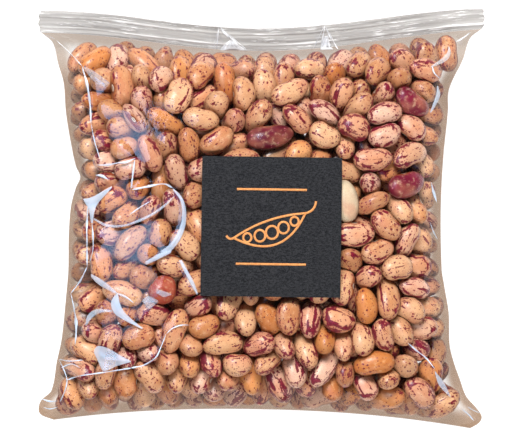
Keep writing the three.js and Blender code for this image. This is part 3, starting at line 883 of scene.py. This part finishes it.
def grid_rim(columns, rows, first=0):
    """The points all the way round a grid, anticlockwise from above."""
    ring = [(i, 0) for i in range(columns)] + [(columns, j) for j in range(rows)]
    ring += [(i, rows) for i in range(columns, 0, -1)] + [(0, j) for j in range(rows, 0, -1)]
    return [first + i * (rows + 1) + j for i, j in ring]


def sheet_faces(columns, rows, first=0):
    """The faces of a thin closed sheet: a grid of points, the same grid below it, and their rims."""
    below = first + (columns + 1) * (rows + 1)
    upper, lower = grid_rim(columns, rows, first), grid_rim(columns, rows, below)
    rim = [(upper[k - 1], lower[k - 1], lower[k], upper[k]) for k in range(len(upper))]
    return grid_faces(columns, rows, first) + grid_faces(columns, rows, below, False) + rim


def sheet(name, high, low, smooth):
    """A thin closed sheet between two grids of points."""
    columns, rows = high.shape[0] - 1, high.shape[1] - 1
    points = np.concatenate([high.reshape(-1, 3), low.reshape(-1, 3)])
    return new_piece(name, points, sheet_faces(columns, rows), smooth)


# Both films are one closed skin: the fine front, the back with every second row and column of it,
# and a band of triangles between their rims.
front_points = np.stack([film_x, film_y, film], axis=2).reshape(-1, 3)
back_points = np.stack([back_x, back_y, back_film], axis=2).reshape(-1, 3)
front_faces = grid_faces(FILM_COLUMNS, FILM_ROWS)
back_faces = grid_faces(FILM_COLUMNS // 2, FILM_ROWS // 2, len(front_points), False)
front_rim = grid_rim(FILM_COLUMNS, FILM_ROWS)
back_rim = grid_rim(FILM_COLUMNS // 2, FILM_ROWS // 2, len(front_points))
rim_faces = []
for k in range(len(back_rim)):
    a, b, c = front_rim[2 * k - 2], front_rim[2 * k - 1], front_rim[2 * k]
    p, q = back_rim[k - 1], back_rim[k]
    rim_faces += [(a, p, b), (b, p, q), (b, q, c)]
points = np.concatenate([front_points, back_points])
bag_film = new_piece("bag_film", points, front_faces + back_faces + rim_faces)
veil = smoothed(margin_veil(u, v, air), 6)
back_veil = smoothed(margin_veil(*np.meshgrid(back_u, back_v, indexing="ij"), back_air), 3)
attribute(bag_film, "veil", np.concatenate([FRONT_VEIL * veil.ravel(), back_veil.ravel()]))
patches = [within(film_x, film_y, on_bag(corners).tolist()) for corners in PAINTED_REFLECTIONS]
attribute(bag_film, "gleam", np.concatenate([smoothed(sum(patches), 2).ravel(), 0 * back_veil.ravel()]))


def clear_film(name, tone, beyond, layer, amounts, rough, mirror, cloudy):
    """Clear glossy film: see-through, with a haze where two or more layers lie together.

    tone is the haze's colour, and beyond its colour near the mouth. layer is what light keeps on its
    way through. amounts are how much haze there is without a veil and with one.
    """
    thin, thick = amounts
    material, start = new_material(name)
    place, veil, gleam = start.object_place(), start.attribute("veil"), start.attribute("gleam")
    cloud, wrinkle = place.noise(90.0, 3.0), place.noise(260.0, 3.0, 0.65)
    ripple = place.noise(420.0, 2.0) * 0.6 + place.noise(1500.0, 1.0) * 0.05
    relief = ripple.bump(0.04 + 0.16 * cloudy, 0.4)
    facing = start.add("ShaderNodeLayerWeight", {}, {"Blend": 0.5, "Normal": relief}, "Facing")
    clear = veil.mixed_shaders(start.see_through((0.985, 0.985, 0.98, 1)), start.see_through(layer))
    tone = place.part(1).between(MOUTH_Y * 0.65 * MM, MOUTH_Y * 0.9 * MM).mixed(tone, beyond)
    tone = (wrinkle.between(0.5, 0.72) * 0.4 * cloudy).mixed(tone, tone.stretched(1.9, 1.9, 1.9))
    haze = start.surface({"Base Color": tone, "Roughness": 0.5, "Specular IOR Level": 0.2})
    uneven = 1 + cloudy * ((cloud - 0.5) * 0.3 + (wrinkle - 0.5) * 0.3)
    amount = thin + (thick - thin) * veil * uneven + 0.12 * facing ** 2 * veil
    glossy = {"Base Color": (1, 1, 1, 1), "Metallic": 1.0, "Roughness": rough, "Normal": relief}
    # painted reflection: the film mirrors more strongly inside the listed patches
    shine = 0.036 + gleam * (0.03 + 0.05 * cloud) + mirror * facing ** 5
    return shown(material, shine.mixed_shaders(amount.mixed_shaders(clear, haze), start.surface(glossy)))


# painted shade: the seam haze is brown beige and browns what shows through it, warm from the beans
HAZE_AND_SHADE_BEIGE, GREY_BEIGE = (0.31, 0.185, 0.105, 1), (0.37, 0.35, 0.325, 1)
FILM_LAYER_AND_SHADE = (0.55, 0.43, 0.335, 1)
clear = clear_film("clear film", HAZE_AND_SHADE_BEIGE, GREY_BEIGE, FILM_LAYER_AND_SHADE, (0.002, 0.22), 0.07, 0.06, cloudy=1)
bag_film.data.materials.append(clear)
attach(bag_film, "root")
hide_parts("filled_bag")

# The closing strip: two ribs of thicker film that press into each other along the mouth, between two
# limp edges. It is welded shut at both ends, and the beans' weight has pulled two kinks into it.
STRIP_COLUMNS, STRIP_ROWS = 420, 42
STRIP_HALF_LENGTH = 98.2
STRIP_BAND = 9.7
STRIP_RIBS = (0.24, 0.72)
STRIP_KINKS = (-18.7, 27.5)
STRIP_HALF_THICK = 0.4
STRIP_RIB_HEIGHT, STRIP_RIB_WIDTH = 0.28, 0.05
STRIP_KINK_HEIGHT, STRIP_SAG, STRIP_LIMP = 1.7, 0.5, 0.20
across, up = np.linspace(-1, 1, STRIP_COLUMNS + 1), np.linspace(0, 1, STRIP_ROWS + 1)
across, up = np.meshgrid(across, up, indexing="ij")
wavy_end = 0.9 * (2 * up - 1) ** 2 + 0.25 * np.sin(up * 17 + 2 * across)
strip_x = across * (STRIP_HALF_LENGTH - wavy_end)
strip_y = mouth_edge(strip_x) + 0.1 + (STRIP_BAND - 0.9 * np.clip(strip_x / 98, 0, 1) ** 4) * up
rib = sum(np.exp(-(((up - middle) / STRIP_RIB_WIDTH) ** 4)) for middle in STRIP_RIBS)
kink = 0
for middle in STRIP_KINKS:
    kink += np.maximum(0, 1 - np.abs(strip_x - middle - 5 * (0.8 - up)) / (3 + 5 * (1 - up)))
limp = STRIP_LIMP * np.sin(up * 15 + 1.6 * np.sin(strip_x / 19))
limp *= 0.5 + 0.5 * np.sin(strip_x / 13 + 3 * up)
sagging = STRIP_SAG * np.sin(strip_x / 11) * (0.3 + 0.7 * up)
strip_middle = seam(1.0) + sagging + STRIP_KINK_HEIGHT * kink * (0.4 + 0.6 * up) + limp
half = STRIP_HALF_THICK + STRIP_RIB_HEIGHT * rib
strip_top = np.stack([strip_x, strip_y, strip_middle + half], axis=2)
strip_low = np.stack([strip_x, strip_y, strip_middle - half], axis=2)
strip = sheet("closing_strip_film", strip_top, strip_low, True)
on_top = np.stack([strip_x / 100, up, 0 * up], axis=2).reshape(-1, 3)
attribute(strip, "on_strip", np.concatenate([on_top, on_top]))

# Its film is greyish where it is dull, with painted highlights: nearly white in long streaks and
# along its ribs where it would catch the light.
material, start = new_material("closing strip film")
on_strip = start.attribute("on_strip", "Vector")
run, rise = on_strip.part(0), on_strip.part(1)
sway = (on_strip.stretched(2.2, 0.4, 1).noise(1.0, 3.0) - 0.5) * 0.34
flow = start.add("ShaderNodeCombineXYZ", {}, {0: run, 1: rise + sway, 2: 0.0})
painted_shine = flow.stretched(2.6, 6.5, 1).noise(1.0, 4.0, 0.62).between(0.52, 0.76) * 0.8
crisp = flow.stretched(11, 17, 1).noise(1.0, 3.0, 0.6).between(0.55, 0.64)
crisp = crisp * flow.shifted((3, 8, 0)).stretched(4, 2.4, 1).noise(1.0, 1.0).between(0.44, 0.56)
painted_shine = painted_shine.math("MAXIMUM", crisp)
# painted highlights along both ribs, broken into patches
for middle in STRIP_RIBS:
    half = flow.shifted((5 * middle, 0, 0)).stretched(4.0, 0.3, 1).noise(1.0, 2.0) * 0.14 - 0.035
    on_rib = 1 - ((rise + sway * 0.35 - middle).math("ABSOLUTE") - half).between(-0.03, 0.03)
    painted_rib_highlight = flow.shifted((1, 9, 4)).stretched(5.5, 1, 1).noise(1.0, 2.0).between(0.42, 0.62)
    painted_shine = painted_shine.math("MAXIMUM", on_rib * painted_rib_highlight)
cloud = flow.shifted((2, 5, 0)).stretched(1.4, 5.5, 1).noise(1.0, 3.0).between(0.35, 0.65)
film_tone = painted_shine.mixed(cloud.mixed((0.33, 0.325, 0.32, 1), (0.46, 0.455, 0.45, 1)), (0.74, 0.75, 0.77, 1))
relief = on_strip.stretched(9, 30, 1).noise(1.0, 3.0).bump(0.5, 0.6)
clear = start.see_through((0.82, 0.81, 0.80, 1))
dull = {"Base Color": film_tone, "Roughness": 0.28, "Normal": relief, "Specular IOR Level": 0.6}
whole = (0.6 + painted_shine * 0.32).mixed_shaders(clear, start.surface(dull))
strip.data.materials.append(shown(material, whole))
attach(strip, "root")
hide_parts("closing_strip")

# Folds in the film. Where the film is gathered it creases, and each crease is a sliver of film folded
# double, hazed a painted bluish white for the light it catches: a narrow ridge that tapers out at both
# ends, or a broad flat blade.
FOLD_STEP, FOLD_LEAST_STEPS = 0.7, 6
FOLD_SINK = 0.06
BLADE_THICK = 0.2
strip_faces = grid_faces(STRIP_COLUMNS, STRIP_ROWS, len(front_points))
under_folds = np.concatenate([front_points, strip_top.reshape(-1, 3)]) * MM
film_tree = BVHTree.FromPolygons(under_folds.tolist(), front_faces + strip_faces)
fold_points, fold_faces, fold_painted_shine = [], [], []


def film_heights(places):
    """How high the film or the strip lies under each place, or the place before it at a gap."""
    level, heights = SEAM_HEIGHT, []
    for x, y in places:
        hit = film_tree.ray_cast((x * MM, y * MM, FAR_ABOVE * MM), (0, 0, -1))[0]
        level = hit.z / MM if hit else level
        heights.append(level)
    return np.array(heights)


def smooth_path(places, knots, along):
    """Points of a smooth path through knots that lie at these places along it."""
    return np.stack([through(list(zip(places, knots[:, axis])), along) for axis in (0, 1)], axis=1)


def add_fold(one, other, thick, crown, painted_shine):
    """Adds a closed sliver of film between two edges. crown is how flat its back is across."""
    (x, y) = np.concatenate([one, other[::-1]]).T
    if (x * np.roll(y, -1) - y * np.roll(x, -1)).sum() < 0:
        one, other = other, one
    strands = 3 + int(np.linalg.norm(one - other, axis=1).max() / FOLD_STEP)
    share = np.linspace(0, 1, strands + 1)
    places = (one[:, None] * (1 - share)[:, None] + other[:, None] * share[:, None]).reshape(-1, 2)
    level = film_heights(places)
    raised = thick[:, None] * (1 - np.abs(2 * share - 1) ** crown) ** 0.6
    fold_faces.extend(sheet_faces(len(one) - 1, strands, len(fold_points)))
    for height in (level + raised.ravel(), level - FOLD_SINK):
        fold_points.extend(np.column_stack([places, height]).tolist())
        fold_painted_shine.extend(np.repeat(painted_shine, strands + 1).tolist())


for number, (height, _, line) in enumerate(FOLDS):
    knots, widths = on_bag(line), [width for *_, width in line]
    lengths = run_along(knots)
    steps = max(FOLD_LEAST_STEPS, int(lengths[-1] / FOLD_STEP))
    along = np.linspace(0, lengths[-1], steps + 1)
    path = smooth_path(lengths, knots, along)
    heading = np.gradient(path, axis=0)
    sideways = np.stack([-heading[:, 1], heading[:, 0]], axis=1) / np.linalg.norm(heading, axis=1)[:, None]
    from_end = np.minimum(np.arange(steps + 1), np.arange(steps + 1)[::-1])
    taper = np.clip(from_end / 2 + 0.1, 0, 1)
    width = np.interp(along, lengths, widths) * (1.1 + 0.3 * np.sin(along * 0.9 + number)) * taper
    thick = 0.7 * np.minimum(height * taper, 0.6 * width)
    half = sideways * width[:, None] / 2
    add_fold(path - half, path + half, thick, 2, 0.66 + 0.34 * np.sin(0.42 * along + 5 * number))
for painted_shine, *edges in BLADES:
    one, other = (on_bag(edge) for edge in edges)
    steps = max(FOLD_LEAST_STEPS, int(run_along(one)[-1] / FOLD_STEP))
    along = np.linspace(0, len(one) - 1, steps + 1)
    one, other = (smooth_path(range(len(one)), edge, along) for edge in (one, other))
    add_fold(one, other, np.full(steps + 1, BLADE_THICK), 8, painted_shine * (1 + 0.15 * np.sin(along * 2)))
folds = new_piece("film_folds", fold_points, fold_faces)
attribute(folds, "veil", fold_painted_shine)
# painted highlights: the folds' haze is bluish white, as thick as each fold should shine
PAINTED_WINDOW_BLUE, PAINTED_SHINE_GREY, FOLD_LAYER = (0.66, 0.80, 1.0, 1), (0.74, 0.76, 0.80, 1), (0.95, 0.97, 1.0, 1)
folded = clear_film("folded film", PAINTED_WINDOW_BLUE, PAINTED_SHINE_GREY, FOLD_LAYER, (0.03, 0.9), 0.3, 0.35, cloudy=0)
folds.data.materials.append(folded)
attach(folds, "root")
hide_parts("filled_bag")

# The label: a square of charcoal paper with a slight grain, glued to the middle of the front film. It
# bridges the beans under it and is stiff enough to stay nearly flat.
LABEL_TURN = math.radians(-0.8)
LABEL_LIFT = 3.8
LABEL_THICK = 0.28


def on_label(a, b, above=0.0):
    """Points on the label's face, a across and b up from its middle, in millimetres."""
    a, b = np.asarray(a, float), np.asarray(b, float)
    x = LABEL_CENTRE[0] + a * math.cos(LABEL_TURN) - b * math.sin(LABEL_TURN)
    y = LABEL_CENTRE[1] + a * math.sin(LABEL_TURN) + b * math.cos(LABEL_TURN)
    wave = 0.10 * np.sin(a / 6.1 + 0.8) * np.sin(b / 7.3 + 0.3)
    return np.stack([x, y, front(*unplan(x, y)) + LABEL_LIFT + wave + above], axis=-1)


half = np.linspace(-LABEL_SIDE / 2, LABEL_SIDE / 2, 41)
a, b = np.meshgrid(half, half, indexing="ij")
label = sheet("label_paper", on_label(a, b, LABEL_THICK), on_label(a, b), False)
material, start = new_material("charcoal label paper")
on_paper = start.object_place()
grain = on_paper.noise(2600.0, 3.0, 0.7)
fibre = on_paper.stretched(1.0, 2.6, 1.0).noise(700.0, 3.0, 0.6)
height = grain * 0.6 + fibre * 0.4
matt = {"Roughness": 0.78 + grain * 0.15, "Normal": height.bump(0.5, 0.1), "Specular IOR Level": 0.3}
matt["Base Color"] = height.between(0.4, 0.6).mixed(colour(22, 23, 26), colour(59, 60, 63))
label.data.materials.append(shown(material, start.surface(matt)))
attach(label, "root")
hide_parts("label")

# The print: an open pod with five beans, drawn in thin lines of copper ink between two rules. It stands
# where the real label has its own drawing and lettering, about as large and in the same colour.
INK_WIDTH, INK_THICK, INK_LIFT = 0.95, 0.05, 0.03
POD_FOOT, POD_HEAD = (-16.0, -5.0), (14.5, 6.0)
STEM_END, TIP_END = (19.0, 11.2), (-19.2, -4.0)
POD_BEANS = [(0.17, 1.9), (0.335, 2.5), (0.50, 2.8), (0.665, 2.5), (0.83, 1.9)]
BEANS_SAG = 0.095
RULE_HALF, RULE_Y = 15.0, 16.0


def bowed(start, end, bow, steps=40):
    """Points from one end to the other along a bow, whose rise is a share of the way between."""
    t = np.linspace(0, 1, steps)[:, None]
    run = np.subtract(end, start)
    return start + run * t + np.array([-run[1], run[0]]) * bow * 4 * t * (1 - t)


lines = [bowed(POD_FOOT, POD_HEAD, 0.07), bowed(POD_FOOT, POD_HEAD, -0.26)]
lines += [bowed(POD_HEAD, STEM_END, -0.18, 14), bowed(POD_FOOT, TIP_END, 0.25, 10)]
lines += [bowed((-RULE_HALF, y), (RULE_HALF, y), 0, 31) for y in (RULE_Y, -RULE_Y)]
pod_run = np.subtract(POD_HEAD, POD_FOOT)
around = np.linspace(0, 2 * np.pi, 29)
for t, radius in POD_BEANS:
    middle = POD_FOOT + pod_run * t - np.array([-pod_run[1], pod_run[0]]) * BEANS_SAG * 4 * t * (1 - t)
    lines.append(middle + radius * np.stack([0.92 * np.cos(around), np.sin(around)], axis=1))
points, edges = [], []
for line in lines:
    closed = np.allclose(line[0], line[-1])
    line = line[:-1] if closed else line
    first, last = len(points), len(points) + len(line) - 1
    points += on_label(line[:, 0], line[:, 1], LABEL_THICK + INK_LIFT).tolist()
    edges += [(k, k + 1) for k in range(first, last)] + ([(last, first)] if closed else [])
drawn = new_piece("print_lines", points, [], edges=edges)

# The node tree that lays flat ink along the lines.
ink_inputs = {"Lines": "Geometry", "Line width": "Float", "Ink thickness": "Float", "Ink": "Material"}
inking, start, given = new_tree("ink along lines", ink_inputs)
curve = start.add("GeometryNodeMeshToCurve", {}, {0: given["Lines"]})
upright = start.add("GeometryNodeSetCurveNormal", {"mode": "Z_UP"}, {0: curve})
section = {"Width": given["Line width"], "Height": given["Ink thickness"]}
profile = start.add("GeometryNodeCurvePrimitiveQuadrilateral", {}, section)
swept = {"Curve": upright, "Profile Curve": profile, "Fill Caps": True}
laid = start.add("GeometryNodeCurveToMesh", {}, swept)
real = start.add("GeometryNodeRealizeInstances", {}, {0: laid})
inked = start.add("GeometryNodeSetMaterial", {}, {"Geometry": real, "Material": given["Ink"]})
start.add("NodeGroupOutput", {}, {0: inked})

material, start = new_material("copper ink")
worn = start.object_place().noise(1400.0, 3.0)
copper = worn.between(0.3, 0.7).mixed(colour(222, 146, 86), colour(240, 172, 108))
ink = shown(material, start.surface({"Base Color": copper, "Roughness": 0.45 + worn * 0.2}))
laid_as = {"Line width": INK_WIDTH * MM, "Ink thickness": INK_THICK * MM, "Ink": ink}
label_print = made_by(inking, drawn, "label_print", laid_as)
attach(label_print, "root")

# The studio: a white floor, a broad softbox behind the bag and one before it that light it from low
# down, a bluish window on the left that only the film mirrors, and a lamp that glints on the beans.
bpy.ops.mesh.primitive_plane_add(size=6)
floor = bpy.context.object
floor.name = "floor"
floor.location.z = -0.5 * MM
material, start = new_material("floor")
white = {"Base Color": (0.3, 0.3, 0.3, 1), "Roughness": 0.8}
white.update({"Emission Color": (1, 1, 1, 1), "Emission Strength": 0.86})
floor.data.materials.append(shown(material, start.surface(white)))

world = bpy.data.worlds.new("studio")
bpy.context.scene.world = world
world.use_nodes = True
world.node_tree.nodes.clear()
start = Wire(world.node_tree)
height = start.add("ShaderNodeTexCoord", {}, {}, "Generated").part(2)
glow = (1 - height.between(0.25, 0.8)).mixed((0.03, 0.03, 0.031, 1), (0.10, 0.10, 0.10, 1))
background = start.add("ShaderNodeBackground", {}, {"Color": glow, "Strength": 0.9})
start.add("ShaderNodeOutputWorld", {}, {"Surface": background})

WARM_WHITE, WINDOW_BLUE, WHITE = (1.0, 0.97, 0.94), (0.42, 0.62, 1.0), (1.0, 1.0, 1.0)
LIGHTS = {
    "far softbox": ((0.9, 0.4), 41.0, (-0.05, 1.0, 1.0), WARM_WHITE, True),
    "near softbox": ((0.9, 0.4), 18.5, (0.1, -1.0, 0.9), WARM_WHITE, True),
    "window": ((0.8, 0.9), 6.5, (-0.66, 0.05, 1.15), WINDOW_BLUE, False),
    "lamp": ((0.3, 0.3), 12.0, (-0.5, 0.6, 1.0), WHITE, False),
}
lights = {}
for name, ((wide, tall), power, where, tone, lights_up) in LIGHTS.items():
    panel = bpy.data.lights.new(name, "AREA")
    panel.shape = "RECTANGLE"
    panel.size, panel.size_y, panel.energy, panel.color = wide, tall, power, tone
    light = added(name, panel)
    light.location = where
    light.rotation_euler = (Vector((0, 0, 0.03)) - light.location).to_track_quat("-Z", "Y").to_euler()
    light.visible_diffuse, light.visible_glossy = lights_up, not lights_up
    lights[name] = light
glinting = bpy.data.collections.new("beans that the lamp glints on")
for piece in bean_pieces:
    glinting.objects.link(piece)
lights["lamp"].light_linking.receiver_collection = glinting

# The camera looks straight down on the bag.
SENSOR_WIDTH, SEEN_AT_A_METRE = 36.0, 0.208
camera = added("camera", bpy.data.cameras.new("camera"))
camera.location = (CAMERA_X * MM, CAMERA_Y * MM, CAMERA_Z * MM)
camera.data.lens = SENSOR_WIDTH / SEEN_AT_A_METRE
camera.data.dof.use_dof = False
bpy.context.scene.camera = camera
bpy.context.scene.view_settings.view_transform = "Standard"
